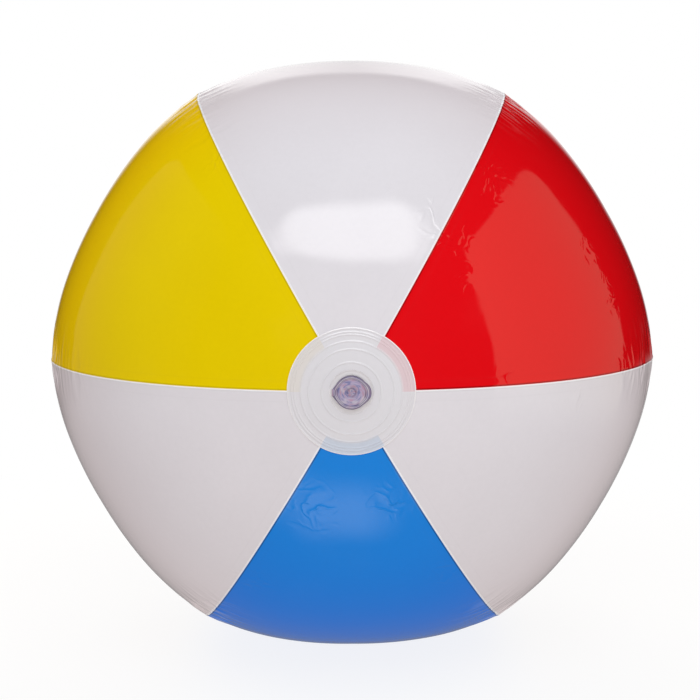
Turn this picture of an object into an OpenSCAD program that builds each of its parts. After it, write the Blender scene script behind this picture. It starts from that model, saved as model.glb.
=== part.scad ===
// Inflatable beach ball. Six lens-shaped panels of vinyl film are lap-welded along their seams, a disc
// is welded over each pole, and a soft valve with a tethered plug sits in a well at the front pole.
// The ball's centre is the origin, the valve faces -Y and the top panel faces +Z.

/* [Ball] */
// Pole to pole length of the empty ball laid flat, the size such a ball is sold by
flat_length = 508; // [400:1:760]
// Set-back of each panel's turning axis behind the ball's axis, which lifts the seams into ridges
seam_set_back = 40; // [25:1:60]
// Thickness of the vinyl film
film_t = 0.25; // [0.2:0.05:0.5]
// Width of the welded lap that runs under each edge of a coloured panel
lap_w = 6; // [3:0.5:10]
// Width of the step where a white panel's film drops below its neighbour
step_w = 1.5; // [1:0.5:3]
// Clearance left between two welded pieces
weld_gap = 0.05; // [0.02:0.01:0.1]

/* [End discs] */
// Diameter of the disc over each pole
disc_d = 59.5; // [52:0.5:80]
// Width of the weld where a disc lies over the panel ends
disc_lap = 6.4; // [5:0.1:8]
// Number of raised weld lines across that weld
weld_lines = 3; // [2:1:4]
// Width of each weld line
line_w = 0.8; // [0.5:0.1:1.2]
// Height of each weld line
line_h = 0.2; // [0.1:0.05:0.4]

/* [Valve well] */
// Clear ring between the strap's lug and the wall of the well
mouth_gap = 0.35; // [0.2:0.05:1.5]
// Width of the valve's welding flange under the disc
flange_w = 3.45; // [2:0.05:8]
// Thickness of the flange
flange_t = 0.6; // [0.4:0.1:1.2]
// Thickness of the flexible wall of the well
web_t = 0.5; // [0.3:0.05:0.7]
// How much the wall of the well widens from its foot to its top, on each side
web_draft = 0.2; // [0:0.05:0.3]

/* [Valve stem] */
// Outside diameter of the stem
stem_od = 10; // [9.4:0.1:11]
// Length of the stem from its foot to its rim
stem_l = 10.5; // [9.5:0.1:13]
// How far the rim stands above the pole when the valve is pushed in
rim_stand = 0.6; // [0.4:0.1:2]
// Diameter of the lip around the rim
lip_d = 12; // [11.2:0.1:13.4]
// Height of the lip
lip_h = 1.2; // [0.8:0.1:2]
// Diameter of the bore that an air nozzle enters
bore_d = 6.4; // [5.4:0.1:6.8]
// Diameter of the wider seat that the plug closes
seat_d = 7.6; // [7.2:0.1:8.2]
// Depth of that seat below the rim
seat_depth = 5; // [4.6:0.1:6.5]
// Diameter of the stem's foot
foot_d = 14.4; // [12.6:0.1:15.6]
// Thickness of the foot
foot_t = 0.8; // [0.6:0.1:1.5]

/* [Plug] */
// Diameter of the plug's cap
cap_d = 15.6; // [13.6:0.1:18]
// Thickness of the cap
cap_t = 1.2; // [0.8:0.1:1.8]
// Diameter of the round bead along the cap's edge
edge_bead_d = 0.8; // [0.6:0.1:1]
// How far the pull tab reaches past the cap's edge
tab_reach = 1.4; // [1:0.1:2]
// Radius of the pull tab's tip
tab_r = 4.2; // [2.5:0.1:4.5]
// Length of the plug's nose below the cap
nose_l = 4; // [3.2:0.1:4.4]
// Diameter of the dimple in the cap's face
dimple_d = 3.8; // [3.2:0.1:4.2]
// Depth of that dimple
dimple_l = 1.4; // [0.8:0.1:3]

/* [Strap] */
// Distance from the cap's edge to the strap's hinge line
hinge_gap = 0.6; // [0.4:0.1:1]
// Width of the strap
strap_w = 3.2; // [2.8:0.1:4.6]
// Thickness of the strap
strap_t = 0.7; // [0.5:0.1:0.9]
// Diameter of the bead at the strap's root, on the hinge line
root_bead_d = 1.1; // [0.9:0.1:1.3]
// Wall of the stem's lug beyond that bead
lug_wall = 0.3; // [0.2:0.05:0.5]
// Thickness of the lug
lug_t = 1.2; // [1:0.1:2.5]

/* [Check flap] */
// Overlap of the flap around the bore's inner end
flap_lap = 1; // [0.6:0.1:1.4]
// Thickness of the flap
flap_t = 0.4; // [0.3:0.05:0.6]
// Diameter of the bead on the flap's hinge line
flap_bead_d = 0.8; // [0.6:0.05:1]
// Width of the flap's ear and its bead
ear_w = 3.6; // [3:0.1:4.5]

/* [Clearances] */
// Clearance between pieces that move past each other
run_gap = 0.15; // [0.1:0.01:0.2]
// Clearance around the plug's nose in its seat
nose_gap = 0.2; // [0.15:0.01:0.3]
// Clearance between the closed cap and the rim
cap_gap = 0.1; // [0.05:0.01:0.2]

/* [Hidden] */
$fn = 180;
panel_count = 6;
pitch = 360 / panel_count;
panel_r = flat_length / PI;
reach = 3 * panel_r;
lap_r = panel_r - film_t - weld_gap;
disc_r = disc_d / 2;
end_r = disc_r - disc_lap;
// Height of a seam's ridge above the ball's centre, at a distance from the valve's axis
function ridge_z(r) = sqrt(panel_r ^ 2 - (norm([
    r * cos(pitch / 2) + seam_set_back, r * sin(pitch / 2)
]) - seam_set_back) ^ 2);
// The discs are dished to lie on the ridges at their own edge and at the panel ends
edge_z = ridge_z(disc_r) + weld_gap;
inset_z = ridge_z(end_r) + weld_gap;
dish_z = (end_r ^ 2 + inset_z ^ 2 - disc_r ^ 2 - edge_z ^ 2) / (2 * (inset_z - edge_z));
dish_r = norm([disc_r, edge_z - dish_z]);
pole_z = dish_z + dish_r + film_t;
line_pitch = (disc_lap - line_w) / (weld_lines - 1);
cap_r = cap_d / 2;
hinge_reach = cap_r + hinge_gap;
lug_reach = hinge_reach + root_bead_d / 2 + run_gap + lug_wall;
mouth_r = lug_reach + mouth_gap + web_t + weld_gap;
mouth_z = dish_z + sqrt((dish_r + film_t) ^ 2 - mouth_r ^ 2);
rim_z = pole_z + rim_stand;
// The web starts as a flat shelf around the cap, just below the strap's lug
shelf_z = min(rim_z - lug_t - run_gap, mouth_z - web_t);
foot_z = rim_z - stem_l;
foot_under_z = foot_z - foot_t;
cap_z = rim_z + cap_gap;
hinge_z = cap_z + strap_t / 2;
nose_r = seat_d / 2 - nose_gap;
// The nose tapers so that its far side, which turns about the hinge line, just clears the seat's edge
nose_tip_r = sqrt((hinge_reach + nose_r) ^ 2 - (nose_l + hinge_z - cap_z) ^ 2) - hinge_reach;
flap_r = bore_d / 2 + flap_lap;
flap_hinge_y = flap_r + flap_bead_d / 2;
flap_z = foot_under_z - run_gap;

// Turns a shape built with the valve's axis along +Z so that the valve faces -Y
module facing_front() {
    rotate([90, 0, 0])
        children();
}

// The sector between the two seams of the panel that is centred on +X, set in from both by an inset
module sector(inset = 0) {
    apex = inset / sin(pitch / 2);
    side = reach * tan(pitch / 2);
    translate([apex, 0, -reach / 2])
        linear_extrude(reach)
            polygon([[0, 0], [reach, -side], [reach, side]]);
}

// A curved layer over the panel centred on +X: a round arc turned about an axis behind the ball's own
module layer(outer_r, inner_r) {
    translate([-seam_set_back, 0, 0])
        rotate_extrude(angle = pitch, start = -pitch / 2)
            translate([seam_set_back, 0])
                difference() {
                    circle(outer_r);
                    circle(inner_r);
                    translate([-reach, -reach / 2])
                        square([reach, reach]);
                }
}

// That layer cut off at the panel's two seams
module lens(outer_r, inner_r) {
    intersection() {
        layer(outer_r, inner_r);
        sector();
    }
}

module without_poles() {
    difference() {
        children();
        cylinder(r = end_r, h = reach, center = true);
    }
}

module coloured_panel(turn) {
    facing_front()
        rotate(turn)
            without_poles()
                lens(panel_r, panel_r - film_t);
}

// The welded lap beyond one seam of a white panel, which lies under the next panel's film. Its root
// starts one film inside the seam, within the step.
module seam_lap() {
    intersection() {
        rotate(pitch)
            layer(lap_r, lap_r - film_t);
        rotate(pitch / 2)
            translate([0, -film_t, -reach / 2])
                cube([reach, lap_w + film_t, reach]);
    }
}

module white_panel(turn) {
    facing_front()
        rotate(turn)
            without_poles()
                union() {
                    difference() {
                        lens(panel_r, lap_r - film_t);
                        intersection() {
                            lens(panel_r - film_t, panel_r / 2);
                            sector(step_w);
                        }
                    }
                    seam_lap();
                    mirror([0, 1, 0])
                        seam_lap();
                }
}

// The section of a dished ring over the front pole, between two depths and two distances from the axis
module dish_section(top_r, under_r, outer_r, inner_r) {
    intersection() {
        translate([0, dish_z])
            difference() {
                circle(top_r);
                circle(under_r);
            }
        translate([inner_r, 0])
            square([outer_r - inner_r, reach]);
    }
}

// A film disc over the front pole, with raised weld lines along its edge
module end_disc(hole_r) {
    facing_front()
        rotate_extrude()
            union() {
                dish_section(dish_r + film_t, dish_r, disc_r, hole_r);
                for (i = [0 : weld_lines - 1]) {
                    line_r = disc_r - line_w - i * line_pitch;
                    dish_section(dish_r + film_t + line_h, dish_r + film_t / 2, line_r, line_r - line_w);
                }
            }
}

module panel_red() {
    color("red")
        coloured_panel(pitch / 2);
}

module panel_white_top() {
    color("white")
        white_panel(pitch * 3 / 2);
}

module panel_yellow() {
    color("gold")
        coloured_panel(pitch * 5 / 2);
}

module panel_white_left() {
    color("white")
        white_panel(pitch * 7 / 2);
}

module panel_blue() {
    color("dodgerblue")
        coloured_panel(pitch * 9 / 2);
}

module panel_white_right() {
    color("white")
        white_panel(pitch * 11 / 2);
}

module valve_end_disc() {
    color("ghostwhite")
        end_disc(mouth_r);
}

module plain_end_disc() {
    color("ghostwhite")
        mirror([0, 1, 0])
            end_disc(0);
}

module valve_flange() {
    color("lavender")
        facing_front()
            rotate_extrude()
                dish_section(dish_r - weld_gap, dish_r - weld_gap - flange_t, mouth_r + flange_w, mouth_r);
}

// The thin shelf and wall of the well, which turn inside out when the valve is pulled out
module valve_web() {
    collar_r = mouth_r - weld_gap;
    end_in_r = foot_d / 2 + run_gap;
    neck_r = end_in_r + web_draft;
    color("lavender")
        facing_front()
            rotate_extrude()
                polygon([
                    [collar_r, mouth_z], [collar_r - web_t, mouth_z],
                    [collar_r - web_t, shelf_z], [neck_r, shelf_z],
                    [end_in_r, foot_z], [end_in_r, foot_under_z],
                    [end_in_r + web_t, foot_under_z], [end_in_r + web_t, foot_z],
                    [neck_r + web_t, shelf_z - web_t], [collar_r, shelf_z - web_t]
                ]);
}

module stem_tube() {
    translate([0, 0, foot_under_z])
        cylinder(d = foot_d, h = foot_t);
    translate([0, 0, foot_under_z])
        cylinder(d = stem_od, h = rim_z - foot_under_z);
    translate([0, 0, rim_z - lip_h])
        cylinder(d = lip_d, h = lip_h);
}

// The tongue on the stem that carries the root of the plug's strap
module strap_lug() {
    translate([0, 0, rim_z - lug_t])
        linear_extrude(lug_t)
            intersection() {
                circle(lug_reach);
                translate([-lug_reach, -strap_w / 2])
                    square([lug_reach, strap_w]);
            }
}

// A cylinder along the strap's hinge line
module on_strap_hinge(d, length) {
    translate([-hinge_reach, 0, hinge_z])
        rotate([90, 0, 0])
            cylinder(d = d, h = length, center = true);
}

module valve_stem() {
    color("thistle")
        facing_front()
            difference() {
                union() {
                    stem_tube();
                    strap_lug();
                }
                translate([0, 0, foot_under_z - foot_t])
                    cylinder(d = bore_d, h = reach);
                translate([0, 0, rim_z - seat_depth])
                    cylinder(d = seat_d, h = reach);
                on_strap_hinge(root_bead_d + 2 * run_gap, 2 * strap_w);
            }
}

module check_flap() {
    color("thistle")
        facing_front()
            union() {
                translate([0, 0, flap_z - flap_t])
                    cylinder(r = flap_r, h = flap_t);
                translate([-ear_w / 2, 0, flap_z - flap_t])
                    cube([ear_w, flap_hinge_y, flap_t]);
                translate([0, flap_hinge_y, flap_z - flap_bead_d / 2])
                    rotate([0, 90, 0])
                        cylinder(d = flap_bead_d, h = ear_w, center = true);
            }
}

// The cap's outline, with the pull tab drawn out of its round edge by two tangent lines
module cap_outline() {
    tip_x = cap_r + tab_reach - tab_r;
    lean = acos((cap_r - tab_r) / tip_x);
    circle(cap_r);
    translate([tip_x, 0])
        circle(tab_r);
    polygon([
        [cap_r * cos(lean), cap_r * sin(lean)], [cap_r * cos(lean), -cap_r * sin(lean)],
        [tip_x + tab_r * cos(lean), -tab_r * sin(lean)], [tip_x + tab_r * cos(lean), tab_r * sin(lean)]
    ]);
}

module valve_plug() {
    color("plum")
        facing_front()
            difference() {
                union() {
                    translate([0, 0, cap_z])
                        linear_extrude(cap_t)
                            cap_outline();
                    translate([0, 0, cap_z + cap_t])
                        rotate_extrude()
                            translate([cap_r - edge_bead_d, 0])
                                circle(d = edge_bead_d);
                    translate([0, 0, cap_z - nose_l])
                        cylinder(r1 = nose_tip_r, r2 = nose_r, h = nose_l);
                }
                translate([0, 0, cap_z + cap_t - dimple_l])
                    cylinder(d = dimple_d, h = reach);
            }
}

// The strap flares from its bead into the cap's edge, along two tangents of the cap
module strap_outline() {
    half_w = strap_w / 2;
    flare = atan(half_w / hinge_reach) + acos(cap_r / norm([hinge_reach, half_w]));
    difference() {
        polygon([
            [-hinge_reach, half_w], [-hinge_reach, -half_w],
            [-cap_r * cos(flare), -cap_r * sin(flare)], [-cap_r * cos(flare), cap_r * sin(flare)]
        ]);
        circle(cap_r + weld_gap);
    }
}

module plug_strap() {
    color("plum")
        facing_front()
            union() {
                translate([0, 0, cap_z])
                    linear_extrude(strap_t)
                        strap_outline();
                difference() {
                    on_strap_hinge(root_bead_d, strap_w);
                    translate([0, 0, cap_z - cap_t])
                        cylinder(r = cap_r + weld_gap, h = reach);
                }
            }
}

panel_white_top();
panel_red();
panel_white_right();
panel_blue();
panel_white_left();
panel_yellow();
valve_end_disc();
plain_end_disc();
valve_flange();
valve_web();
valve_stem();
check_flap();
valve_plug();
plug_strap();
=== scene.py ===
import math

import bmesh
import bpy
import numpy as np
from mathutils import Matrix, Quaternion, Vector
from mathutils.geometry import convex_hull_2d


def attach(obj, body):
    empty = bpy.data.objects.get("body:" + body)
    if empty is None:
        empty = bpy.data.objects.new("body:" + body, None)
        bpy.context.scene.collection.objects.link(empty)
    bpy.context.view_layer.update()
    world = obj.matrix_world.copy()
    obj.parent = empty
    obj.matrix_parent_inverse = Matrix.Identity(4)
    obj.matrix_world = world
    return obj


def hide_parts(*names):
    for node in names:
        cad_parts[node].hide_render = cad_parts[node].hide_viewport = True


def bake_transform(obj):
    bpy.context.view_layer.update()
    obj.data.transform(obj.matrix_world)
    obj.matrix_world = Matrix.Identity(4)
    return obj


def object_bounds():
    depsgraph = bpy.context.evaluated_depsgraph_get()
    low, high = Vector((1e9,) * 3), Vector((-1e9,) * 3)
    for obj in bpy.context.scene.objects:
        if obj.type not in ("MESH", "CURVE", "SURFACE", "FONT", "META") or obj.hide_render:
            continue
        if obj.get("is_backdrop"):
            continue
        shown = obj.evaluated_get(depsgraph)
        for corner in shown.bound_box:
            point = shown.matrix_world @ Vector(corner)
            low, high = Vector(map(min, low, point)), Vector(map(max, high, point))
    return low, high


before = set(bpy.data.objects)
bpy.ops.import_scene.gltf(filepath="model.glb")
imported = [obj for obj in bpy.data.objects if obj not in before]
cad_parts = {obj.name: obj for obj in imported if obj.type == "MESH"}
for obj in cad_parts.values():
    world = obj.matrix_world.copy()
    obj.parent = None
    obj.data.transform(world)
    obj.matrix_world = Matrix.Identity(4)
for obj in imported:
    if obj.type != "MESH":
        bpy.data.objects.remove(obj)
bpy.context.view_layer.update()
scene = bpy.context.scene
mm = 0.001
sharpAngle = {"film": math.radians(50), "moulding": math.radians(55)}  # steeper edges stay sharp
print("frame loaded:", len(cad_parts), "nodes")


# the camera, fitted to the run of the six seams
photoCamera = {
    "distance": 0.85, "azimuth": 0.1, "elevation": 6.5, "roll": -0.2,
    "focalPixels": 1502.5, "centre": (351.9, 352.3), "frameSide": 700, "sensor": 36.0,
}


def makeCamera(c):
    a, e = math.radians(c["azimuth"]), math.radians(c["elevation"])
    back = Vector((math.sin(a) * math.cos(e), -math.cos(a) * math.cos(e), math.sin(e)))
    lens = bpy.data.cameras.new("photoCamera")
    lens.sensor_width = c["sensor"]
    lens.lens = c["focalPixels"] * c["sensor"] / c["frameSide"]
    lens.shift_x = 0.5 - c["centre"][0] / c["frameSide"]
    lens.shift_y = c["centre"][1] / c["frameSide"] - 0.5
    camera = bpy.data.objects.new("photoCamera", lens)
    camera.location = back * c["distance"]
    camera.rotation_mode = "QUATERNION"
    turn = Quaternion((0, 0, 1), math.radians(c["roll"]))
    camera.rotation_quaternion = (-back).to_track_quat("-Z", "Y") @ turn
    scene.collection.objects.link(camera)
    scene.camera = camera


makeCamera(photoCamera)
print("camera set")


# short-hand for writing node trees: a wire is a value in the tree, and sums of wires add Math nodes
class wire:
    def __init__(self, draft, socket):
        self.draft, self.socket = draft, socket

    def __add__(self, other):
        return self.draft.calc("ADD", self, other)

    def __sub__(self, other):
        return self.draft.calc("SUBTRACT", self, other)

    def __rsub__(self, other):
        return self.draft.calc("SUBTRACT", other, self)

    def __mul__(self, other):
        return self.draft.calc("MULTIPLY", self, other)

    def __truediv__(self, other):
        return self.draft.calc("DIVIDE", self, other)

    __radd__, __rmul__ = __add__, __mul__


class draft:
    def __init__(self, tree):
        self.tree = tree

    def feed(self, socket, value):
        if isinstance(value, wire):
            self.tree.links.new(value.socket, socket)
        else:
            socket.default_value = value

    def add(self, kind, values=(), out=0, **settings):
        node = self.tree.nodes.new(kind)
        for key, value in settings.items():
            setattr(node, key, value)
        for key, value in dict(values).items():
            self.feed(node.inputs[key], value)
        return wire(self, node.outputs[out]) if len(node.outputs) else node

    def calc(self, operation, *values):
        return self.add("ShaderNodeMath", dict(enumerate(values)), operation=operation)

    def smooth(self, value, low, high):
        limits = {"Value": value, "From Min": low, "From Max": high}
        return self.add("ShaderNodeMapRange", limits, interpolation_type="SMOOTHSTEP")

    def bell(self, value, width):
        share = value / width
        return self.calc("EXPONENT", 0 - share * share)

    def vector(self, x, y, z):
        return self.add("ShaderNodeCombineXYZ", {0: x, 1: y, 2: z})

    def split(self, vector):
        node = self.add("ShaderNodeSeparateXYZ", {0: vector}).socket.node
        return [wire(self, socket) for socket in node.outputs]

    def noise(self, vector, scale, detail=2.0, rough=0.5, **more):
        values = {"Vector": vector, "Scale": scale, "Detail": detail, "Roughness": rough, **more}
        return self.add("ShaderNodeTexNoise", values)


def newGroup(kind, name, inputs, outputs):
    tree = bpy.data.node_groups.new(name, kind)
    for way, sockets in (("INPUT", inputs), ("OUTPUT", outputs)):
        for label, sort in sockets.items():
            tree.interface.new_socket(label, in_out=way, socket_type="NodeSocket" + sort)
    d = draft(tree)
    d.given = {s.name: wire(d, s) for s in tree.nodes.new("NodeGroupInput").outputs if s.name}
    d.result = tree.nodes.new("NodeGroupOutput")
    return d


def link(obj):
    scene.collection.objects.link(obj)
    return obj


def settle(obj):
    # the modifiers' result becomes the piece's plain mesh
    made = bpy.data.meshes.new_from_object(obj.evaluated_get(bpy.context.evaluated_depsgraph_get()))
    obj.modifiers.clear()
    obj.data = made
    made.name = obj.name
    return obj


def grow(name, group, values):
    obj = bpy.data.objects.new(name, bpy.data.meshes.new(name))
    modifier = obj.modifiers.new("grow", "NODES")
    modifier.node_group = group
    for item in group.interface.items_tree:
        if item.in_out == "INPUT" and item.name in values:
            modifier[item.identifier] = values[item.name]
    return settle(link(obj))


def thicken(obj, thickness):
    # a film's outer face stays where it is and its wall goes inwards
    wall = obj.modifiers.new("wall", "SOLIDIFY")
    wall.thickness = thickness
    wall.offset = -1
    settle(obj)
    obj.data.set_sharp_from_angle(angle=sharpAngle["film"])
    return obj


# shader groups that several finishes share: clouds, smears and scuffs, and the lines along a seam
wearLook = {
    "cloudScale": 14.0, "cloudTone": 0.10, "fineScale": 420.0, "smearScale": 26.0, "smearFrom": (0.5, 0.8),
    "smearShare": 0.7, "scuffScale": 6.0, "scuffStretch": (30.0, 900.0), "scuffFrom": (0.58, 0.75),
    "scuffShare": 0.5, "clean": 0.045, "dentScale": 55.0, "dentShare": 0.7, "fineShare": 0.05,
}


def filmWearGroup(w):
    inputs = {"Haze": "Float", "Grain": "Float"}
    outputs = {"Tone": "Float", "Roughness": "Float", "Height": "Float"}
    d = newGroup("ShaderNodeTree", "filmWear", inputs, outputs)
    place = d.add("ShaderNodeTexCoord", out=3)
    cloud = d.noise(place, w["cloudScale"], 3.0)
    fine = d.noise(place, w["fineScale"], 2.0)
    dents = d.noise(place, w["dentScale"], 2.0)
    x, y, z = d.split(place)
    across, along = w["scuffStretch"]
    scuff = d.noise(d.vector(x * across, y * along, z * across), w["scuffScale"], 3.0)
    rubbed = d.smooth(scuff, *w["scuffFrom"]) * w["scuffShare"]
    smear = d.smooth(d.noise(place, w["smearScale"], 4.0), *w["smearFrom"]) * w["smearShare"]
    d.feed(d.result.inputs["Tone"], (cloud - 0.5) * w["cloudTone"] + (fine - 0.5) * d.given["Grain"])
    d.feed(d.result.inputs["Roughness"], w["clean"] + d.given["Haze"] * (smear + rubbed))
    d.feed(d.result.inputs["Height"], dents * w["dentShare"] + fine * w["fineShare"])
    return d.tree


def seamEdgeGroup():
    # the pale cut edge of the film, the painted shadow line where it folds down, and the weld, by the distance
    # from the seam
    inputs = {"Flash Width": "Float", "Weld Width": "Float"}
    outputs = {"Flash": "Float", "Fold Shadow": "Float", "Weld": "Float"}
    d = newGroup("ShaderNodeTree", "seamEdge", inputs, outputs)
    lineWidth = 0.35  # in millimetres, as the attribute is
    width = d.given["Flash Width"]
    gap = d.add("ShaderNodeAttribute", out=2, attribute_name="seamGap")
    d.feed(d.result.inputs["Flash"], 1 - d.smooth(gap, width * 0.7, width * 1.3))
    d.feed(d.result.inputs["Fold Shadow"], d.bell(gap - width * 1.9, lineWidth))
    d.feed(d.result.inputs["Weld"], d.bell(gap - d.given["Weld Width"], lineWidth))
    return d.tree


# small crumples in the film: their places, in millimetres from the ball's centre, and how far each spreads
crumpleSpots = (
    (67.8, -115.6, 93.7, 9), (45.2, -140.4, 69.8, 9), (51.9, -144.7, 51.4, 5), (73.1, -145.4, 6.0, 4),
    (135.6, -93.5, 4.3, 5), (40.3, -134.9, 82.7, 6), (-18.0, -151.0, -56.0, 10), (-63.0, -108.8, 106.3, 8),
    (17.3, -151.9, -53.9, 8), (64.9, -107.3, 106.5, 8), (45.6, -126.0, -93.8, 8), (-50.0, -121.5, -97.9, 9),
    (-96.0, 118.0, 52.0, 9), (88.0, 112.0, -74.0, 8), (20.0, 128.0, -96.0, 7),
    (130.9, -91.9, 34.0, 5), (127.7, -91.6, 45.0, 5), (119.1, -94.2, 60.7, 6), (110.2, -120.5, -9.0, 5),
)


def crumpleGroup():
    d = newGroup("ShaderNodeTree", "filmCrumples", {"Fineness": "Float"}, {"Height": "Float"})
    place = d.add("ShaderNodeTexCoord", out=3)
    spots = 0
    for x, y, z, spread in crumpleSpots:
        spot = (x * mm, y * mm, z * mm)
        away = d.add("ShaderNodeVectorMath", {0: place, 1: spot}, out=1, operation="DISTANCE")
        spots = d.bell(away, spread * mm) + spots
    bent = d.noise(place, d.given["Fineness"], 1.0, Distortion=0.8) - 0.5
    sharp = d.bell(bent, 0.06) * 0.3  # a sharp line along the middle of each fold
    d.feed(d.result.inputs["Height"], (bent + sharp) * spots)
    return d.tree


filmWear = filmWearGroup(wearLook)
seamEdge = seamEdgeGroup()
filmCrumples = crumpleGroup()


def newMaterial(name):
    material = bpy.data.materials.new(name)
    material.use_nodes = True
    shader = material.node_tree.nodes["Principled BSDF"]
    return material, draft(material.node_tree), shader


def blended(d, share, first, second):
    first = first if isinstance(first, wire) else tuple(first) + (1,)
    second = second if isinstance(second, wire) else tuple(second) + (1,)
    return d.add("ShaderNodeMix", {0: share, 6: first, 7: second}, out=2, data_type="RGBA")


def tinted(d, tone, colour):
    # a colour made a little lighter or darker by a tone around zero
    return blended(d, tone * 2.5 + 0.5, [v * 0.8 for v in colour], [min(1, v * 1.2) for v in colour])


def bumped(d, shader, height, strength, distance):
    values = {"Height": height, "Strength": strength, "Distance": distance}
    d.feed(shader.inputs["Normal"], d.add("ShaderNodeBump", values))


def useGroup(d, tree, values):
    node = d.tree.nodes.new("ShaderNodeGroup")
    node.node_tree = tree
    for key, value in values.items():
        d.feed(node.inputs[key], value)
    return {s.name: wire(d, s) for s in node.outputs}


filmFinish = {
    "white": (0.78, 0.775, 0.82), "red": (0.79, 0.004, 0.008), "yellow": (0.88, 0.65, 0.001),
    "blue": (0.014, 0.25, 0.80), "flash": (0.96, 0.98, 1.0), "haze": 0.12, "grain": 0.04, "ior": 1.5,
    "flashWidth": 0.5, "whiteFlash": 0.28, "creaseHighlight": 0.4, "foldShade": 0.3,
    "weldWidth": 5.0, "weldTone": 0.015, "weldDull": 0.08,
    "bump": 0.05, "bumpDepth": 0.4 * mm, "crumpleFineness": 100.0, "crumpleDepth": 0.6 * mm,
}
# painted shade: round the ball's middle the film's colour is painted deeper and darker, standing in for the
# shade towards the ball's outline;
# the girdle's distances along the valve's axis, in millimetres, give where it fades
paintedShadeFilm = {
    "white": (0.77, 0.715, 0.745), "red": (0.66, 0.001, 0.004), "yellow": (0.94, 0.605, 0.0),
    "blue": (0.013, 0.183, 0.80),
}
shadeGirdle = {"white": (44, 140), "red": (42, 140), "yellow": (36, 130), "blue": (76, 161)}
# how dark the painted shadow line along each coloured edge's fold is
foldShadowDepth = {"red": 0.85, "yellow": 0.4, "blue": 0.9}  # how dark the line along a coloured edge is


def filmMaterial(colour):
    f = filmFinish
    material, d, shader = newMaterial("film" + colour.capitalize())
    wear = useGroup(d, filmWear, {"Haze": f["haze"], "Grain": f["grain"]})
    flashWidth = f["whiteFlash" if colour == "white" else "flashWidth"]
    edge = useGroup(d, seamEdge, {"Flash Width": flashWidth, "Weld Width": f["weldWidth"]})
    paint = tinted(d, wear["Tone"] - edge["Weld"] * f["weldTone"], f[colour])
    # painted shade: the film's colour deepens and darkens towards the ball's middle
    _, y, _ = d.split(d.add("ShaderNodeTexCoord", out=3))
    outer = d.smooth(d.calc("ABSOLUTE", y), *[v * mm for v in shadeGirdle[colour]])
    paint = blended(d, outer, paintedShadeFilm[colour], paint)
    if colour != "white":
        # painted shadow: a dark line where the coloured film folds down at its edge
        paint = blended(d, edge["Fold Shadow"] * foldShadowDepth[colour], paint, [v * f["foldShade"] for v in f[colour]])
    # painted highlight: pale lines along the crests of the creases
    crease = d.add("ShaderNodeAttribute", out=2, attribute_name="creaseHighlightLine")
    paint = blended(d, crease * f["creaseHighlight"], paint, f["flash"])
    d.feed(shader.inputs["Base Color"], blended(d, edge["Flash"], paint, f["flash"]))
    d.feed(shader.inputs["Roughness"], wear["Roughness"] + edge["Weld"] * f["weldDull"])
    shader.inputs["IOR"].default_value = f["ior"]
    crumple = useGroup(d, filmCrumples, {"Fineness": f["crumpleFineness"]})
    height = wear["Height"] * (f["bump"] * f["bumpDepth"]) + crumple["Height"] * f["crumpleDepth"]
    bumped(d, shader, height, 1.0, 1.0)
    return material


films = {colour: filmMaterial(colour) for colour in ("white", "red", "yellow", "blue")}
print("film materials made")


# the six lens-shaped panels
panelShape = {
    "Panel Radius": 161.7 * mm, "Set Back": 40 * mm, "Half Pitch": math.radians(30),
    "End Latitude": math.radians(81.7), "Columns": 73, "Rows": 577, "Film": 0.25 * mm,
    "Edge Width": 0.9 * mm, "Pucker Height": 0.5 * mm, "Pucker Length": 8 * mm, "Pucker Reach": 12 * mm,
    "Crease Height": 0.75 * mm, "Crease Length": 4.5 * mm, "Crease Reach": 14 * mm, "Row Crowding": 0.45,
    "Ridge Round": 1.3 * mm, "Ridge Reach": 28 * mm,
    "Wave Height": 0.25 * mm, "Wave Size": 55 * mm, "Seed": 3.0,
}
panelSet = {
    "panel_red": ("red", 0), "panel_white_top": ("white", 1), "panel_yellow": ("yellow", 2),
    "panel_white_left": ("white", 3), "panel_blue": ("blue", 4), "panel_white_right": ("white", 5),
}
lapShare = 0.08  # share of the half width that carries the lap's columns
lapWidth = 6 * mm
edgeLift = {"coloured": 0.22 * mm, "white": -0.066 * mm}
puckerFade = [math.radians(v) for v in (16, 48)]  # latitudes between which the puckers die out
creaseFade = [math.radians(v) for v in (10, 32)]  # and the creases
lowerReach = math.radians(8)  # how much further round the creases of the two lower seams go
creaseLeast = {"other": 0.45, "level": 0.85}  # creases between the gathers, on most seams and on the level two
seams = 6.0


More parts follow.
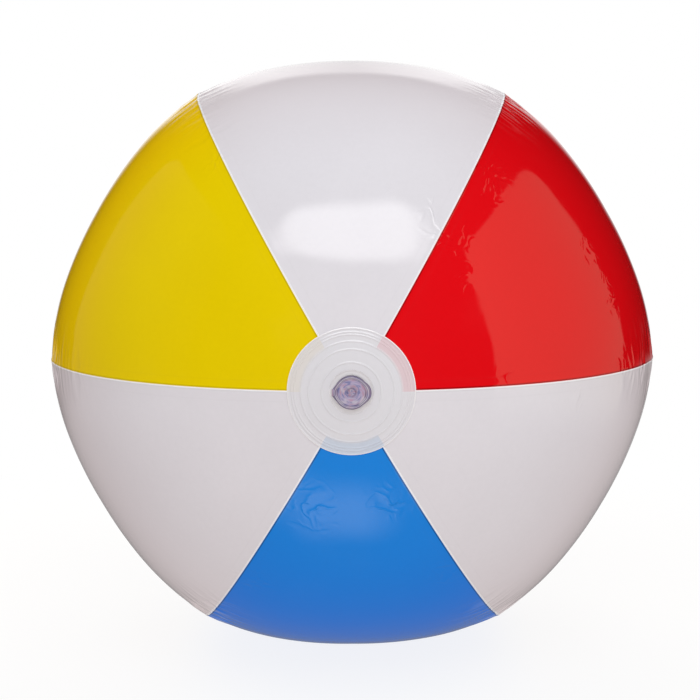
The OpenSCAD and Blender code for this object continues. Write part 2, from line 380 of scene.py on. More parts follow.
def panelGroup():
    lengths = ("Panel Radius", "Set Back", "Half Pitch", "End Latitude", "Film", "Edge Width", "Edge Lift",
               "Pucker Height", "Pucker Length", "Pucker Reach", "Wave Height", "Wave Size", "Seed",
               "Ridge Round", "Ridge Reach", "Crease Height", "Crease Length", "Crease Reach",
               "Row Crowding", "Panel Number", "Lap Share", "Lap Width")
    inputs = {"Columns": "Int", "Rows": "Int", "Material": "Material", **{n: "Float" for n in lengths}}
    d = newGroup("GeometryNodeTree", "lobedPanel", inputs, {"Geometry": "Geometry"})
    g = d.given
    radius, back, half = g["Panel Radius"], g["Set Back"], g["Half Pitch"]
    grid = d.add("GeometryNodeMeshGrid", {"Size X": 2 + 2 * g["Lap Share"], "Size Y": 2.0,
                                          "Vertices X": g["Columns"], "Vertices Y": g["Rows"]})
    across, along, _ = d.split(d.add("GeometryNodeInputPosition"))
    side, reach = d.calc("SIGN", across), d.calc("ABSOLUTE", across)
    onLap = d.calc("GREATER_THAN", reach, 1.00001)
    # rows crowd towards the widest part, where the puckers are
    even = g["Row Crowding"]
    latitude = (along * even + along * along * along * (1 - even)) * g["End Latitude"]
    cosLat, sinLat = d.calc("COSINE", latitude), d.calc("SINE", latitude)
    swing = back + radius * cosLat
    widest = half - d.calc("ARCSINE", back * d.calc("SINE", half) / swing)
    # columns crowd towards the seams; past them the lap runs on under the next panel
    inPanel = d.calc("SINE", d.calc("MINIMUM", reach, 1.0) * (math.pi / 2))
    lapIn = (reach - 1) / (g["Lap Share"] + 1e-6) * g["Lap Width"]
    inLap = 1 - lapIn / (widest * swing)
    share = inPanel + onLap * (inLap - inPanel)
    turn = side * share * widest
    gap = (1 - share) * widest * swing
    cosTurn, sinTurn = d.calc("COSINE", turn), d.calc("SINE", turn)
    px, py, pz = swing * cosTurn - back, swing * sinTurn, radius * sinLat
    nx, ny, nz = cosLat * cosTurn, cosLat * sinTurn, sinLat
    # puckers cross each seam, so both panels take them from the seam's own number
    seam = d.calc("FLOORED_MODULO", g["Panel Number"] + (side + 1) * 0.5, seams)
    ripple = d.noise(d.vector(latitude * radius / g["Pucker Length"], gap / g["Pucker Reach"] * 0.6,
                              seam * 7.3 + g["Seed"]), 1.0, 1.0) - 0.5
    pinch = d.bell(ripple, 0.07) + ripple * 1.5
    fromMiddle = d.calc("ABSOLUTE", latitude)
    zone = (1 - d.smooth(fromMiddle, *puckerFade)) * d.bell(gap, g["Pucker Reach"])
    gather = d.noise(d.vector(latitude * 5, seam * 3.1, g["Seed"]), 1.0, 1.0)
    pucker = pinch * g["Pucker Height"] * zone * d.smooth(gather, 0.3, 0.65)
    fold = d.noise(d.vector(latitude * radius / g["Crease Length"], gap / g["Crease Reach"] * 0.35,
                            seam * 4.7 + g["Seed"]), 1.0, 0.0) - 0.5
    # the two lower seams' creases reach further round, and the two level seams have the most
    lower = d.calc("GREATER_THAN", seam, 3.5) * lowerReach
    level = d.calc("LESS_THAN", d.calc("FLOORED_MODULO", seam, seams / 2), 0.5)
    near = (1 - d.smooth(fromMiddle - lower, *creaseFade)) * d.bell(gap, g["Crease Reach"])
    least = creaseLeast["other"] + level * (creaseLeast["level"] - creaseLeast["other"])
    near = near * d.calc("MAXIMUM", d.smooth(gather, 0.3, 0.55), least)
    crease = d.bell(fold, 0.1) * g["Crease Height"] * near
    wave = d.noise(d.vector(px / g["Wave Size"], py / g["Wave Size"],
                            pz / g["Wave Size"] + g["Seed"] + g["Panel Number"] * 5), 1.0, 2.0)
    wave = (wave - 0.5) * 2 * g["Wave Height"] * (1 - d.bell(gap, 14 * mm))
    edge = g["Edge Lift"] * d.bell(gap, g["Edge Width"])
    spread = gap / g["Ridge Reach"]
    swell = spread * d.calc("EXPONENT", 1 - spread)
    bulge = g["Ridge Round"] * swell * swell * cosLat
    height = pucker + crease + bulge + (1 - onLap) * (wave + edge) - onLap * (g["Film"] * 1.2)
    px, py, pz = px + nx * height, py + ny * height, pz + nz * height
    mx, my = 0 - d.calc("SINE", side * half), d.calc("COSINE", half)
    past = (px * mx + py * my) * 2 * onLap
    px, py = px - mx * past, py - my * past
    place = (g["Panel Number"] * 2 + 1) * half
    cosPlace, sinPlace = d.calc("COSINE", place), d.calc("SINE", place)
    at = d.vector(px * cosPlace - py * sinPlace, 0 - pz, px * sinPlace + py * cosPlace)
    gapMm = gap * 1000 * (1 - 2 * onLap)
    kept = d.add("GeometryNodeStoreNamedAttribute", {"Geometry": grid, "Name": "seamGap", "Value": gapMm})
    # the crest of each crease, kept for the painted highlight along it
    line = d.bell(fold, 0.04) * near
    kept = d.add("GeometryNodeStoreNamedAttribute", {"Geometry": kept, "Name": "creaseHighlightLine", "Value": line})
    moved = d.add("GeometryNodeSetPosition", {"Geometry": kept, "Position": at})
    shaded = d.add("GeometryNodeSetShadeSmooth", {0: moved})
    real = d.add("GeometryNodeRealizeInstances", {0: shaded})
    dressed = d.add("GeometryNodeSetMaterial", {"Geometry": real, "Material": g["Material"]})
    d.feed(d.result.inputs[0], dressed)
    return d.tree


def makePanels():
    group = panelGroup()
    for node, (colour, number) in panelSet.items():
        white = colour == "white"
        panel = grow(node.replace("panel", "film"), group, {
            **panelShape, "Panel Number": float(number), "Material": films[colour],
            "Lap Share": lapShare if white else 0.0, "Lap Width": lapWidth,
            "Edge Lift": edgeLift["white" if white else "coloured"]})
        thicken(panel, panelShape["Film"])
        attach(panel, "ball")
        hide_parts(node)
    print("panels made")


makePanels()


# the two end discs
discShape = {
    "Outer Radius": 29.75 * mm, "Panel End": 23.35 * mm, "Film": 0.25 * mm, "Columns": 241, "Rows": 150,
    "Dish Centre": -23.226 * mm, "Dish Radius": 185.042 * mm,
    "Ring Height": 0.26 * mm, "Ring Width": 0.42 * mm,
}
discHole = {"valve_end_disc": 10.27 * mm, "plain_end_disc": 0.0}
ringRadii = (29.25, 27.6, 26.4, 23.4, 19.8, 13.75)
# from end outwards the panels' colours show through the disc a little
discFinish = {
    "film": (0.762, 0.772, 0.812), "well": (0.95, 0.95, 0.99), "edgeHighlight": (0.95, 0.95, 0.97),
    "red": (0.78, 0.05, 0.08), "yellow": (0.80, 0.68, 0.40), "blue": (0.05, 0.36, 0.72),
    "white": (0.78, 0.765, 0.80), "shine": 0.2, "end": 23.6 * mm, "soft": 1.0 * mm,
    "rim": (29.15 * mm, 29.45 * mm), "edgeHighlightShare": 0.8,
    "haze": 0.16, "grain": 0.03, "bump": 0.05, "bumpDepth": 0.3 * mm,
}


def discMaterial(name, film):
    f = discFinish
    material, d, shader = newMaterial(name)
    wear = useGroup(d, filmWear, {"Haze": f["haze"], "Grain": f["grain"]})
    x, _, z = d.split(d.add("ShaderNodeTexCoord", out=3))
    ramp = d.tree.nodes.new("ShaderNodeValToRGB")
    ramp.color_ramp.interpolation = "CONSTANT"
    order = ("red", "white", "yellow", "white", "blue", "white")  # round the valve from +X
    for i, colour in enumerate(order):
        stop = ramp.color_ramp.elements[i] if i < 2 else ramp.color_ramp.elements.new(i / 6)
        stop.position = i / 6
        stop.color = f[colour] + (1,)
    angle = d.calc("FLOORED_MODULO", d.calc("ARCTAN2", z, x) / (2 * math.pi), 1.0)
    d.feed(ramp.inputs["Fac"], angle)
    radius = d.calc("SQRT", x * x + z * z)
    over = d.smooth(radius, f["end"] - f["soft"], f["end"] + f["soft"]) * f["shine"]
    base = tinted(d, wear["Tone"], film)
    base = blended(d, over, base, wire(d, ramp.outputs["Color"]))
    # painted highlight: a pale band along the disc's outer edge
    rim = d.smooth(radius, *f["rim"]) * f["edgeHighlightShare"]
    d.feed(shader.inputs["Base Color"], blended(d, rim, base, f["edgeHighlight"]))
    d.feed(shader.inputs["Roughness"], wear["Roughness"])
    shader.inputs["IOR"].default_value = filmFinish["ior"]
    bumped(d, shader, wear["Height"], f["bump"], f["bumpDepth"])
    return material


def discGroup():
    lengths = ("Inner Radius", "Outer Radius", "Panel End", "Dish Centre", "Dish Radius", "Film", "Facing",
               "Panel Radius", "Set Back", "Half Pitch", "Ring Height", "Ring Width")
    rings = ["Ring %d" % (i + 1) for i in range(len(ringRadii))]
    inputs = {"Columns": "Int", "Rows": "Int", "Material": "Material"}
    inputs.update({n: "Float" for n in (*lengths, *rings)})
    d = newGroup("GeometryNodeTree", "weldedDisc", inputs, {"Geometry": "Geometry"})
    g = d.given
    grid = d.add("GeometryNodeMeshGrid", {"Size X": 1.0, "Size Y": 1.0,
                                          "Vertices X": g["Columns"], "Vertices Y": g["Rows"]})
    across, along, _ = d.split(d.add("GeometryNodeInputPosition"))
    angle = (across + 0.5) * (-2 * math.pi) * g["Facing"]
    r = g["Inner Radius"] + (along + 0.5) * (g["Outer Radius"] - g["Inner Radius"])
    dishTop = g["Dish Radius"] + g["Film"]
    dish = g["Dish Centre"] + d.calc("SQRT", dishTop * dishTop - r * r)
    # past the panel ends the disc settles onto the lobes of the panels
    lean = d.calc("FLOORED_MODULO", angle, 2 * g["Half Pitch"]) - g["Half Pitch"]
    x, y = r * d.calc("COSINE", lean) + g["Set Back"], r * d.calc("SINE", lean)
    out = d.calc("SQRT", x * x + y * y) - g["Set Back"]
    lobes = d.calc("SQRT", g["Panel Radius"] * g["Panel Radius"] - out * out) + g["Film"] * 1.2
    z = dish + d.smooth(r, g["Panel End"] - 3 * mm, g["Panel End"] + 1 * mm) * (lobes - dish)
    for ring in rings:
        z = z + g["Ring Height"] * d.bell(r - g[ring], g["Ring Width"])
    at = d.vector(r * d.calc("COSINE", angle), 0 - z * g["Facing"], r * d.calc("SINE", angle))
    moved = d.add("GeometryNodeSetPosition", {"Geometry": grid, "Position": at})
    closed = d.add("GeometryNodeMergeByDistance", {"Geometry": moved, "Distance": 0.001 * mm})
    shaded = d.add("GeometryNodeSetShadeSmooth", {0: closed})
    real = d.add("GeometryNodeRealizeInstances", {0: shaded})
    dressed = d.add("GeometryNodeSetMaterial", {"Geometry": real, "Material": g["Material"]})
    d.feed(d.result.inputs[0], dressed)
    return d.tree


discFilm = discMaterial("discFilm", discFinish["film"])
# painted light: the well's film is the disc's film painted paler, against the shade under the cap
wellFilm = discMaterial("wellFilm", discFinish["well"])


def makeDiscs():
    group = discGroup()
    rings = {"Ring %d" % (i + 1): r * mm for i, r in enumerate(ringRadii)}
    for node, facing in (("valve_end_disc", 1.0), ("plain_end_disc", -1.0)):
        disc = grow(node.replace("end_disc", "disc_film"), group, {
            **panelShape, **discShape, **rings, "Inner Radius": discHole[node], "Facing": facing,
            "Material": discFilm})
        thicken(disc, discShape["Film"])
        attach(disc, "ball")
        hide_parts(node)
    print("end discs made")


makeDiscs()


# the valve: levels along its axis from the ball's centre, in millimetres
valveLevel = {
    "mouth": 161.779, "rim": 162.666, "foot": 152.166, "under": 151.366, "cap": 162.766, "hinge": 163.116,
}
clearFinish = {
    "clear": (0.68, 0.61, 0.82), "milky": (0.80, 0.79, 0.83), "cool": (0.34, 0.35, 0.62),
    "blush": (0.70, 0.47, 0.60), "dark": (0.15, 0.11, 0.24), "pale": (0.93, 0.90, 0.97),
    "swirlTurn": 0.9, "swirlRings": 750.0, "gleamRings": 420.0,
    "ior": 1.47, "haze": 0.06, "grain": 0.05, "bump": 0.04, "bumpDepth": 0.1 * mm,
}


def clearMaterial(name, colour, through):
    f = clearFinish
    material, d, shader = newMaterial(name)
    wear = useGroup(d, filmWear, {"Haze": f["haze"], "Grain": f["grain"]})
    paint = tinted(d, wear["Tone"], f[colour])
    if colour == "clear":
        # cooler and warmer swirls for the flow of the moulding, painted into the colour also as reflections in
        # the clear vinyl
        x, _, z = d.split(d.add("ShaderNodeTexCoord", out=3))
        radius = d.calc("SQRT", x * x + z * z) + 0.1 * mm
        across, up = x / radius * f["swirlTurn"], z / radius * f["swirlTurn"]
        flow = d.noise(d.vector(across, up, radius * f["swirlRings"]), 1.0, 2.0, Distortion=0.5)
        paint = blended(d, d.smooth(flow, 0.5, 0.62), paint, f["cool"])
        paint = blended(d, 1 - d.smooth(flow, 0.38, 0.5), paint, f["blush"])
        # painted highlight: paler gleam rings on the cap
        gleam = d.noise(d.vector(across, up, radius * f["gleamRings"] + 3.0), 1.0, 1.0)
        paint = blended(d, d.smooth(gleam, 0.54, 0.68) * 0.7, paint, f["pale"])
        # a paler band inside the cap's edge, with a dark line along its inner side
        reach = d.add("ShaderNodeAttribute", out=2, attribute_name="capReach")
        band = d.smooth(reach, 0.8, 0.86) * (1 - d.smooth(reach, 0.95, 0.99))
        around = d.smooth(d.noise(d.vector(across, up, 7.0), 1.6, 0.0), 0.35, 0.6)
        paint = blended(d, band * (0.35 + around * 0.5), paint, f["pale"])
        paint = blended(d, d.bell(reach - 0.79, 0.03) * (0.85 - around * 0.5), paint, f["dark"])
        # painted shade: where the moulding leans away it is painted darker, standing in for its being seen
        # through its length
        slantShade = d.smooth(d.add("ShaderNodeAttribute", out=2, attribute_name="capSlantShade"), 0.03, 0.35)
        paint = blended(d, slantShade * (d.smooth(reach, 0.5, 0.85) * 0.65 + 0.35), paint, f["dark"])
    d.feed(shader.inputs["Base Color"], paint)
    d.feed(shader.inputs["Roughness"], wear["Roughness"])
    shader.inputs["Transmission Weight"].default_value = through
    shader.inputs["IOR"].default_value = f["ior"]
    bumped(d, shader, wear["Height"], f["bump"], f["bumpDepth"])
    return material


clearVinyl = clearMaterial("clearVinyl", "clear", 0.4)
milkyVinyl = clearMaterial("milkyVinyl", "milky", 0.1)


def rounded(corners, radius, steps=5):
    # a polyline with its inner corners rounded off
    points = [np.array(corners[0], float)]
    for before, corner, after in zip(corners, corners[1:], corners[2:]):
        c = np.array(corner, float)
        a, b = np.array(before, float) - c, np.array(after, float) - c
        cut = min(radius, 0.45 * np.hypot(*a), 0.45 * np.hypot(*b))
        p, q = c + a / np.hypot(*a) * cut, c + b / np.hypot(*b) * cut
        for t in np.linspace(0, 1, steps):
            points.append((1 - t) ** 2 * p + 2 * t * (1 - t) * c + t * t * q)
    return points + [np.array(corners[-1], float)]


def pieceMesh(name, points, faces, material, marks=()):
    # points are in millimetres, with the valve's axis along +Z; the valve faces -Y
    mesh = bpy.data.meshes.new(name)
    mesh.from_pydata([(x * mm, -z * mm, y * mm) for x, y, z in points], [], faces)
    for mark, values in dict(marks).items():
        mesh.attributes.new(mark, "FLOAT", "POINT").data.foreach_set("value", values)
    obj = link(bpy.data.objects.new(name, mesh))
    bm = bmesh.new()
    bm.from_mesh(mesh)
    bmesh.ops.remove_doubles(bm, verts=bm.verts, dist=0.002 * mm)
    bmesh.ops.recalc_face_normals(bm, faces=bm.faces)
    bm.to_mesh(mesh)
    bm.free()
    mesh.shade_smooth()
    mesh.set_sharp_from_angle(angle=sharpAngle["moulding"])
    mesh.materials.append(material)
    return obj


def turned(profile, angles, stretch=None, closed=False):
    # turns a profile of (radius, height) round the axis; stretch gives the radius at an angle and a height
    n, m = len(profile), len(angles)
    points = []
    for angle in angles:
        for r, z in profile:
            out = stretch(r, angle, z) if stretch else r
            points.append((out * math.cos(angle), out * math.sin(angle), z))
    last = n if closed else n - 1
    faces = [(i * n + j, (i + 1) % m * n + j, (i + 1) % m * n + (j + 1) % n, i * n + (j + 1) % n)
             for i in range(m) for j in range(last)]
    return points, faces


plugShape = {
    "capRadius": 7.8, "capThick": 1.2, "beadRadius": 0.4, "tabReach": 1.4, "tabRadius": 5.4,
    "noseRadius": 3.6, "tipRadius": 2.78, "noseLength": 4.0, "dimple": 1.9, "dimpleDepth": 1.4,
    "hingeReach": 8.4, "strapWidth": 3.2, "strapThick": 0.7, "rootBead": 0.55,
}


def capOutline(p):
    # the cap's edge: a circle drawn out to the pull tab on one side and to the strap on the other
    ring = np.linspace(0, 2 * math.pi, 240, endpoint=False)
    tip = p["capRadius"] + p["tabReach"] - p["tabRadius"]
    corner = 0.5
    root = p["hingeReach"] + p["rootBead"] - corner
    rounds = [(0, 0, p["capRadius"]), (tip, 0, p["tabRadius"])]
    rounds += [(-root, s * (p["strapWidth"] / 2 - corner), corner) for s in (-1, 1)]
    cloud = [(x + r * math.cos(a), y + r * math.sin(a)) for x, y, r in rounds for a in ring]
    hull = np.array([cloud[i] for i in convex_hull_2d(cloud)])
    steps = np.linspace(0, 1, 8, endpoint=False)[:, None]
    hull = np.concatenate([a + (b - a) * steps for a, b in zip(hull, np.roll(hull, -1, 0))])
    angle = np.arctan2(hull[:, 1], hull[:, 0])
    order = np.argsort(angle)
    return angle[order], np.hypot(*hull.T)[order]


def makePlug(p):
    cap, top = valveLevel["cap"], valveLevel["cap"] + p["capThick"]
    edge, bead, dimple = p["capRadius"], p["beadRadius"], p["dimple"]
    floor = top - p["dimpleDepth"]
    # from the dimple's floor over its flared mouth, an inner ring, a groove and the edge's bead to the tip
    profile = rounded([
        (0, floor + 0.3), (dimple * 0.8, floor), (dimple, floor + 0.5), (dimple + 0.7, top - 0.3),
        (dimple + 1.6, top), (dimple + 2.3, top + 0.16), (dimple + 3.1, top + 0.05),
        (dimple + 3.7, top - 0.15), (edge - 3.2 * bead, top), (edge - 2 * bead, top + 1.15 * bead),
        (edge - bead, top + 0.1), (edge, top - 0.2), (edge, cap),
        (p["noseRadius"], cap), (p["tipRadius"], cap - p["noseLength"]), (0, cap - p["noseLength"])], 0.4)
    angles = np.linspace(-math.pi, math.pi, 240, endpoint=False)
    outlineAngle, outlineRadius = capOutline(p)

    def stretch(r, angle, z):
        # only the cap's outer half takes the outline
        share = min(1, max(0, (r - 0.55 * edge) / (0.45 * edge)))
        full = np.interp(angle, outlineAngle, outlineRadius, period=2 * math.pi)
        return r + share * share * (full - edge)

    points, faces = turned(profile, angles, stretch)
    root, half = p["rootBead"], p["strapWidth"] / 2
    hinge, halfStrap = valveLevel["hinge"], p["strapThick"] / 2

    def thinned(x, y, z):
        # past the cap's edge the tip thins to the strap and ends round about its bending line
        share = min(1, max(0, (-x - edge + 0.4) / 0.6))
        past = max(0, -x - p["hingeReach"])
        room = min(halfStrap, math.sqrt(max(0, root * root - past * past)))
        return x, y, z + share * (min(hinge + room, max(hinge - room, z)) - z)

    points = [thinned(*point) for point in points]
    # the round root of the strap, in the groove of the stem's lug
    ends = rounded([(0, -half), (root, -half), (root, half), (0, half)], 0.2)
    more, skin = turned(ends, np.linspace(0, 2 * math.pi, 32, endpoint=False))
    faces += [tuple(i + len(points) for i in face) for face in skin]
    # how far out each point of the cap is, and how much its face leans, for the painted shade on its slopes
    run = np.gradient(np.array(profile), axis=0)
    lean = (1 - np.abs(run[:, 0]) / np.hypot(*run.T)) * [z > cap + 0.01 for r, z in profile]
    marks = {"capReach": [r / edge for r, z in profile] * len(angles) + [1] * len(more),
             "capSlantShade": list(lean) * len(angles) + [0] * len(more)}
    points += [(x - p["hingeReach"], z, y + hinge) for x, y, z in more]
    plug = pieceMesh("valve_plug_clear", points, faces, clearVinyl, marks)
    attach(plug, "plug")
    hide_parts("valve_plug", "plug_strap")


makePlug(plugShape)
print("plug made")

stemShape = {
    "od": 5.0, "lip": 6.0, "lipHeight": 1.2, "bore": 3.2, "seat": 3.8, "seatDepth": 5.0, "foot": 7.2,
    "lugReach": 9.4, "lugSpan": 0.36, "groove": 0.7,
}


def makeStem(s):
    rim, foot, under = valveLevel["rim"], valveLevel["foot"], valveLevel["under"]
    lipUnder = rim - s["lipHeight"]
    lipRoot = s["seat"] + 0.4
    ring = rounded([
        (s["seat"], rim - 2), (s["seat"], rim), (s["lip"], rim), (s["lip"], lipUnder),
        (s["od"], lipUnder - 0.5), (s["od"], foot), (s["foot"], foot), (s["foot"], under), (s["bore"], under),
        (s["bore"], rim - s["seatDepth"]), (s["seat"], rim - s["seatDepth"]), (s["seat"], rim - 2)], 0.3)
    profile = []
    for a, b in zip(ring, ring[1:]):
        cuts = 14 if abs(a[1] - rim) < 1e-6 and abs(b[1] - rim) < 1e-6 else 1
        profile += [a + (b - a) * i / cuts for i in range(cuts)]
    halfLug = plugShape["strapWidth"] / 2
    span = s["lugSpan"]
    fine = np.linspace(math.pi - span, math.pi + span, 60)
    rest = np.linspace(-math.pi + span, math.pi - span, 120, endpoint=False)
    angles = np.concatenate([rest, fine[:-1]])

    def stretch(r, angle, z):
        # the lip runs out into the strap's lug
        if r < lipRoot or z < lipUnder - 0.6:
            return r
        across = abs(math.sin(angle))
        lug = s["lugReach"] if across * s["lugReach"] < halfLug else halfLug / max(across, 1e-6)
        lug = lug if math.cos(angle) < 0 else 0
        share = (r - lipRoot) / (s["lip"] - lipRoot)
        return max(r, r + min(1, share) * (lug - s["lip"]))

    points, faces = turned(profile, angles, stretch, closed=True)
    hinge, reach = valveLevel["hinge"], plugShape["hingeReach"]
    grooved = []
    for x, y, z in points:
        off = s["groove"] ** 2 - (x + reach) ** 2
        if off > 0 and z > lipUnder:
            z = min(z, hinge - math.sqrt(off))
        grooved.append((x, y, z))
    stem = pieceMesh("valve_stem_tube", grooved, faces, milkyVinyl)
    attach(stem, "stem")
    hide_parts("valve_stem")


makeStem(stemShape)
print("stem made")

webShape = {"collar": 10.25, "wall": 0.5, "shelf": 161.42, "neck": 7.55, "foot": 7.35}


def makeWeb(w):
    mouth, foot, under = valveLevel["mouth"], valveLevel["foot"], valveLevel["under"]
    wall, shelf = w["wall"], w["shelf"]
    outer = [(w["collar"], mouth), (w["collar"], shelf - wall), (w["neck"] + wall, shelf - wall),
             (w["foot"] + wall, foot), (w["foot"] + wall, under)]
    inner = [(w["foot"], under), (w["foot"], foot), (w["neck"], shelf), (w["collar"] - 0.75, shelf + 0.05),
             (w["collar"] - 0.02, mouth)]
    loop = []
    for side in (outer, inner):
        line = rounded(side, 0.6, 7)
        for a, b in zip(line, line[1:]):
            loop += [a + (b - a) * i / 4 for i in range(4)]
        loop.append(line[-1])
    points, faces = turned(loop, np.linspace(0, 2 * math.pi, 144, endpoint=False), closed=True)
    web = pieceMesh("valve_web_wall", points, faces, wellFilm)
    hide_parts("valve_web")
    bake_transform(web)


makeWeb(webShape)
print("web made")

flapShape = {"radius": 4.2, "thick": 0.4, "hinge": 4.6, "bead": 0.4, "ear": 3.6, "gap": 0.15}


def makeFlap(f):
    top = valveLevel["under"] - f["gap"]
    bottom = top - f["thick"]
    profile = rounded([(0, top), (f["radius"], top), (f["radius"], bottom), (0, bottom)], 0.15)
    halfEar = f["ear"] / 2

    def stretch(r, angle, z):
        ear = f["hinge"] + f["bead"]
        across = abs(math.cos(angle))
        limit = ear if across * ear < halfEar else halfEar / max(across, 1e-6)
        limit = limit if math.sin(angle) > 0 else 0
        share = max(0, r / f["radius"] - 0.6) / 0.4
        return max(r, r + share * (limit - f["radius"]))

    points, faces = turned(profile, np.linspace(0, 2 * math.pi, 160, endpoint=False), stretch)
    flap = pieceMesh("check_flap_film", points, faces, milkyVinyl)
    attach(flap, "flap")
    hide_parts("check_flap")


makeFlap(flapShape)
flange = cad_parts["valve_flange"]
flange.data.materials.clear()
flange.data.materials.append(milkyVinyl)
print("flap and flange made")


# floor, reflections and light
stageSet = {
    "floorLift": 0.85, "floorReach": 0.55, "floorSide": 3.0, "floorPaint": (0.93, 0.93, 0.93, 1),
    "floorGlow": (0.85, 0.775, 0.745), "floorLeft": (0.74, 0.665, 0.645),
    "fill": 0.505, "frontFill": 0.505, "leftDrop": 0.1,
    "sideTint": (1.0, 0.945, 0.935), "topTint": (0.99, 0.99, 1.0),
    "lampSize": 1.2, "key": (7.4, (0.13, -1.04, 1.34)), "rim": (4.5, (0.0, 0.9, 1.3)),
    "leftRim": (11.0, (-0.8, 1.2, 0.45)), "rightRim": (3.5, (0.8, 1.2, 0.45)),
    "rimTint": (1.0, 0.84, 0.66),
}


def stageObject(name, points, faces, material):
    mesh = bpy.data.meshes.new(name)
    mesh.from_pydata(points, [], faces)
    mesh.materials.append(material)
    obj = link(bpy.data.objects.new(name, mesh))
    obj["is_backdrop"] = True
    return obj


def emptyMaterial(name):
    material = bpy.data.materials.new(name)
    material.use_nodes = True
    d = draft(material.node_tree)
    d.tree.nodes.clear()
    return material, d, d.tree.nodes.new("ShaderNodeOutputMaterial").inputs["Surface"]


def shownTo(d):
    # camera, mirror and see-through rays
    path = d.tree.nodes.new("ShaderNodeLightPath")
    seen = [wire(d, path.outputs[n]) for n in ("Is Camera Ray", "Is Glossy Ray", "Is Transmission Ray")]
    return d.calc("MAXIMUM", d.calc("MAXIMUM", seen[0], seen[1]), seen[2])


def makeFloor(s):
    material, d, surface = emptyMaterial("paleFloor")
    x, y, _ = d.split(d.add("ShaderNodeTexCoord", out=3))
    far = d.smooth(d.calc("SQRT", x * x + y * y), s["floorReach"] * 0.45, s["floorReach"])
    seen = shownTo(d)
    plain = d.add("ShaderNodeBsdfDiffuse", {"Color": s["floorPaint"]})
    warm = blended(d, d.smooth(x, -0.42, -0.04), s["floorLeft"], s["floorGlow"])
    glow = d.add("ShaderNodeEmission", {"Color": blended(d, seen, warm, (1, 1, 1)), "Strength": 1.0})
    lift = 1 - seen * (1 - far) * (1 - s["floorLift"])
    d.feed(surface, d.add("ShaderNodeMixShader", {0: lift, 1: plain, 2: glow}))
    level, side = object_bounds()[0].z, s["floorSide"]
    corners = [(-side, -side, level), (side, -side, level), (side, side, level), (-side, side, level)]
    floor = stageObject("floor", corners, [(0, 1, 2, 3)], material)
    floor.visible_glossy = False


# what the glossy film mirrors: a dark tent with a soft box above and one below the camera, pale side walls
# and a pale back; the walls are measured as slopes from the ball's centre, along (y / x) and up (z / x)
tentSet = {
    "radius": 2.4, "dark": 0.008, "warm": (1.0, 0.97, 0.74),
    "floor": 0.1, "floorBack": 0.12, "floorEdge": (0.13, 0.3),
    "back": 0.8, "backRise": 2.0, "backSide": (0.15, 0.5), "backTop": (0.6, 0.7), "backFrom": (0.02, 0.12),
    "wallFoot": (-0.5, -0.12), "wallSoft": 0.02,
    "upper": {"aim": 53, "level": 3.6, "centre": (-0.01, -0.06), "half": (0.355, 0.205), "corner": 0.18,
              "soft": 0.06, "taper": 0.9},
    "lower": {"aim": -53, "level": 1.25, "centre": (-0.055, 0.03), "half": (0.2, 0.18), "corner": 0.15,
              "soft": 0.15, "taper": 0.0},
    "right": {"level": 0.58, "fall": 0.26, "centre": (-0.17, 0.17), "half": (0.69, 0.76), "corner": 0.2},
    "left": {"level": 0.06, "fall": -0.07, "centre": (0.02, 0.2), "half": (0.68, 0.77), "corner": 0.2},
}


def softPatch(d, u, v, half, corner, soft):
    # a box with rounded corners and soft edges
    inner = [size - corner for size in half]
    past = [d.calc("MAXIMUM", d.calc("ABSOLUTE", at) - size, 0.0) for at, size in zip((u, v), inner)]
    reach = d.calc("SQRT", past[0] * past[0] + past[1] * past[1])
    return 1 - d.smooth(reach, corner - soft, corner + soft)


def tentMaterial(t):
    material, d, surface = emptyMaterial("tentCloth")
    way = d.add("ShaderNodeVectorMath", {0: d.add("ShaderNodeTexCoord", out=3)}, operation="NORMALIZE")
    x, y, z = d.split(way)
    below = d.smooth(0 - z, *t["floorEdge"])
    level = t["dark"] + below * (t["floor"] + t["floorBack"] * d.smooth(y, -0.4, 0.6))
    slope = d.calc("ABSOLUTE", x) / d.calc("MAXIMUM", y, 0.01)
    behind = d.smooth(y, *t["backFrom"]) * (1 - d.smooth(slope, *t["backSide"]))
    behind = behind * (1 - d.smooth(z, *t["backTop"]))
    level = level + (t["back"] + slope * t["backRise"]) * behind * (1 - below)
    for sign, wall in ((1, t["right"]), (-1, t["left"])):
        out = d.calc("MAXIMUM", x * sign, 0.02)
        along, up = y / out, z / out
        u, v = along - wall["centre"][0], up - wall["centre"][1]
        shape = softPatch(d, u, v, wall["half"], wall["corner"], t["wallSoft"])
        shape = shape * d.calc("GREATER_THAN", x * sign, 0.05) * d.smooth(up, *t["wallFoot"])
        level = level + shape * (wall["level"] - along * wall["fall"])
        if sign > 0:
            colour = blended(d, shape, (1, 1, 1), t["warm"])
    for box in (t["upper"], t["lower"]):
        c, s = math.cos(math.radians(box["aim"])), math.sin(math.radians(box["aim"]))
        ahead = d.calc("MAXIMUM", z * s - y * c, 0.1)
        u, v = x / ahead - box["centre"][0], (y * s + z * c) / ahead - box["centre"][1]
        v = v * (1 + d.calc("MAXIMUM", 0 - u, 0.0) * box["taper"])
        shape = softPatch(d, u, v, box["half"], box["corner"], box["soft"])
        level = level + shape * d.calc("GREATER_THAN", ahead, 0.11) * box["level"]
    d.feed(surface, d.add("ShaderNodeEmission", {"Color": colour, "Strength": level}))
    return material


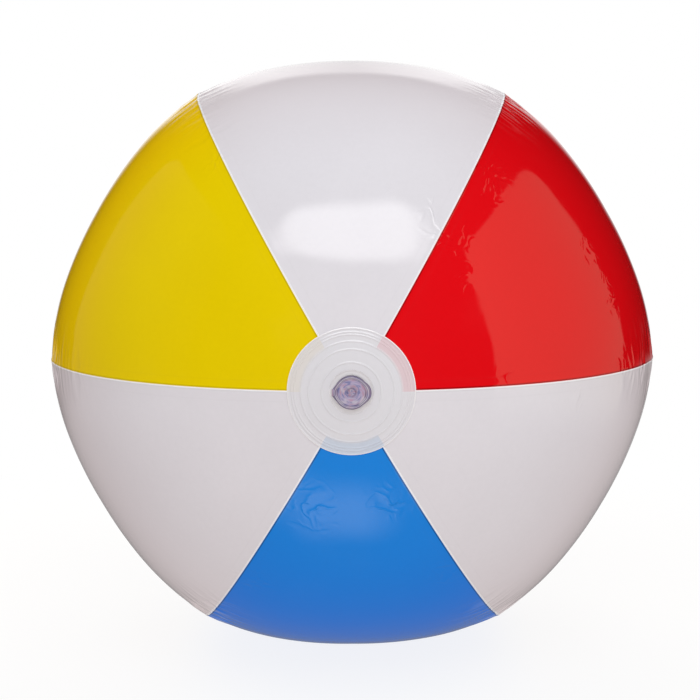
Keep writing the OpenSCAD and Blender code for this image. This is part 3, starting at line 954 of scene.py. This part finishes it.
def makeTent(t):
    steps = np.linspace(0, 2 * math.pi, 48, endpoint=False)
    rows = np.linspace(-math.pi / 2, math.pi / 2, 25)
    points = [Vector((math.cos(a) * math.cos(e), math.sin(a) * math.cos(e), math.sin(e))) * t["radius"]
              for e in rows for a in steps]
    n = len(steps)
    faces = [(i * n + j, i * n + (j + 1) % n, (i + 1) * n + (j + 1) % n, (i + 1) * n + j)
             for i in range(len(rows) - 1) for j in range(n)]
    tent = stageObject("reflectionTent", points, faces, tentMaterial(t))
    for ray in ("camera", "diffuse", "transmission", "shadow", "volume_scatter"):
        setattr(tent, "visible_" + ray, False)


def makeLight(s):
    world = bpy.data.worlds.new("studio")
    world.use_nodes = True
    d = draft(world.node_tree)
    d.tree.nodes.clear()
    x, y, z = d.split(d.add("ShaderNodeTexCoord", out=0))
    front, left = d.calc("MAXIMUM", 0 - y, 0.0), d.calc("MAXIMUM", 0 - x, 0.0)
    tint = blended(d, d.smooth(z, -0.1, 0.7), s["sideTint"], s["topTint"])
    strength = s["fill"] + front * s["frontFill"] - left * s["leftDrop"]
    fill = d.add("ShaderNodeBackground", {"Color": tint, "Strength": strength})
    shown = d.add("ShaderNodeBackground", {"Color": (1, 1, 1, 1), "Strength": 1.0})
    mixed = d.add("ShaderNodeMixShader", {0: shownTo(d), 1: fill, 2: shown})
    d.feed(d.tree.nodes.new("ShaderNodeOutputWorld").inputs["Surface"], mixed)
    scene.world = world
    for name in ("key", "rim", "leftRim", "rightRim"):
        lamp = bpy.data.lights.new(name + "Light", "AREA")
        lamp.energy, lamp.size = s[name][0], s["lampSize"]
        if name in ("leftRim", "rightRim"):
            lamp.color = s["rimTint"]
        soft = link(bpy.data.objects.new(name + "Light", lamp))
        soft.location = Vector(s[name][1])
        soft.rotation_euler = (-soft.location).to_track_quat("-Z", "Y").to_euler()
        soft.visible_camera = soft.visible_glossy = False
    scene.view_settings.view_transform = "Standard"


makeFloor(stageSet)
makeTent(tentSet)
makeLight(stageSet)
print("stage and light set")
